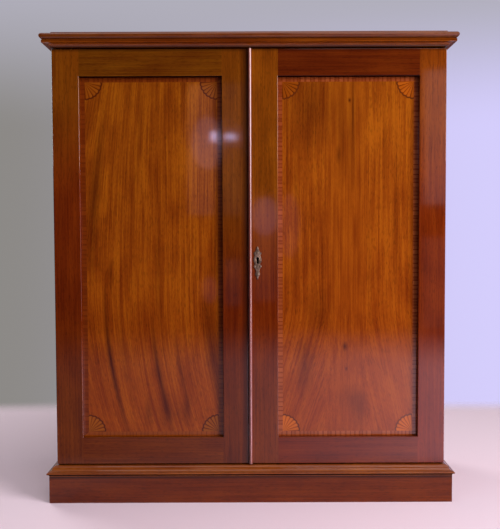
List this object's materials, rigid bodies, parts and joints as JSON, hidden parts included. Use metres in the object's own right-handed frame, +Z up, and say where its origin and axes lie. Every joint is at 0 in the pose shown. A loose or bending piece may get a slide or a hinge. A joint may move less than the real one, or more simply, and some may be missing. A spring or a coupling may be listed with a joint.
{
  "type": "bookcase cabinet",
  "caption": "Free-standing bookcase cabinet with inlaid, framed and panelled doors, adjustable shelves inside, a moulded cornice and a low moulded plinth.",
  "frame": {"origin": "on the floor, below the middle of the overall plan", "axes": "+X to the right seen from the front, +Y to the back, +Z up; the doors face -Y"},
  "size_m": [1.067, 0.392, 1.22],
  "materials": {
    "mahogany_frame": "French-polished, grain along each member",
    "mahogany_panel": "French-polished figured veneer",
    "mahogany_moulding": "French-polished",
    "mahogany_carcass": "French-polished",
    "mahogany_shelf": "thin polish",
    "crossbanding": "French-polished crossgrain veneer",
    "satinwood": "French-polished, sand-shaded veneer",
    "pine": "planed and stained thinly",
    "brass": "dulled",
    "aged_brass": "aged, worn on the high spots"
  },
  "bodies": {
    "carcass": {"left_side": "mahogany_carcass", "right_side": "mahogany_carcass", "carcass_top": "pine", "carcass_bottom": "pine", "back_board_1": "pine", "back_board_2": "pine", "back_board_3": "pine", "back_board_4": "pine", "back_board_5": "pine", "back_board_6": "pine", "back_board_7": "pine", "back_board_8": "pine", "plinth_front": "mahogany_moulding", "plinth_left": "mahogany_moulding", "plinth_right": "mahogany_moulding", "plinth_back": "pine", "plinth_corner_blocks": "pine", "base_moulding_front": "mahogany_moulding", "base_moulding_left": "mahogany_moulding", "base_moulding_right": "mahogany_moulding", "cornice_front": "mahogany_moulding", "cornice_left": "mahogany_moulding", "cornice_right": "mahogany_moulding", "cornice_back_rail": "pine", "top_board": "mahogany_moulding", "shelf_pegs": "brass", "left_fixed_pivots": "brass", "right_fixed_pivots": "brass", "bolt_keeps": "brass"},
    "left_door": {"left_door_hinge_stile": "mahogany_frame", "left_door_meeting_stile": "mahogany_frame", "left_door_top_rail": "mahogany_frame", "left_door_bottom_rail": "mahogany_frame", "left_door_panel": "mahogany_panel", "left_door_banding": "crossbanding", "left_door_fans": "satinwood", "left_door_pivot_plates": "brass", "bolt_plates": "brass", "lock_keep": "brass"},
    "right_door": {"right_door_lock_stile": "mahogany_frame", "right_door_hinge_stile": "mahogany_frame", "right_door_top_rail": "mahogany_frame", "right_door_bottom_rail": "mahogany_frame", "right_door_panel": "mahogany_panel", "right_door_banding": "crossbanding", "right_door_fans": "satinwood", "right_door_pivot_plates": "brass", "meeting_bead": "mahogany_frame", "escutcheon": "aged_brass", "lock_case": "brass"},
    "lower_shelf": {"shelf_lower": "mahogany_shelf"},
    "middle_shelf": {"shelf_middle": "mahogany_shelf"},
    "upper_shelf": {"shelf_upper": "mahogany_shelf"},
    "top_bolt": {"top_bolt": "brass"},
    "bottom_bolt": {"bottom_bolt": "brass"},
    "lock_bolt": {"lock_bolt": "brass"}
  },
  "joints": [
    {"name": "left_door_swing", "type": "hinge", "parent": "carcass", "child": "left_door", "pos_m": [-0.502, -0.158, 0.637], "axis": [0, 0, -1], "range_deg": [0, 175]},
    {"name": "right_door_swing", "type": "hinge", "parent": "carcass", "child": "right_door", "pos_m": [0.502, -0.158, 0.637], "axis": [0, 0, 1], "range_deg": [0, 175]},
    {"name": "lock_bolt_throw", "type": "slide", "parent": "right_door", "child": "lock_bolt", "axis": [-1, 0, 0], "range_m": [0, 0.01]},
    {"name": "top_bolt_throw", "type": "slide", "parent": "left_door", "child": "top_bolt", "axis": [0, 0, 1], "range_m": [0, 0.014]},
    {"name": "bottom_bolt_throw", "type": "slide", "parent": "left_door", "child": "bottom_bolt", "axis": [0, 0, -1], "range_m": [0, 0.014]},
    {"name": "lower_shelf_lift", "type": "slide", "parent": "carcass", "child": "lower_shelf", "axis": [0, 0, 1], "range_m": [0, 0.03]},
    {"name": "middle_shelf_lift", "type": "slide", "parent": "carcass", "child": "middle_shelf", "axis": [0, 0, 1], "range_m": [0, 0.03]},
    {"name": "upper_shelf_lift", "type": "slide", "parent": "carcass", "child": "upper_shelf", "axis": [0, 0, 1], "range_m": [0, 0.03]}
  ]
}
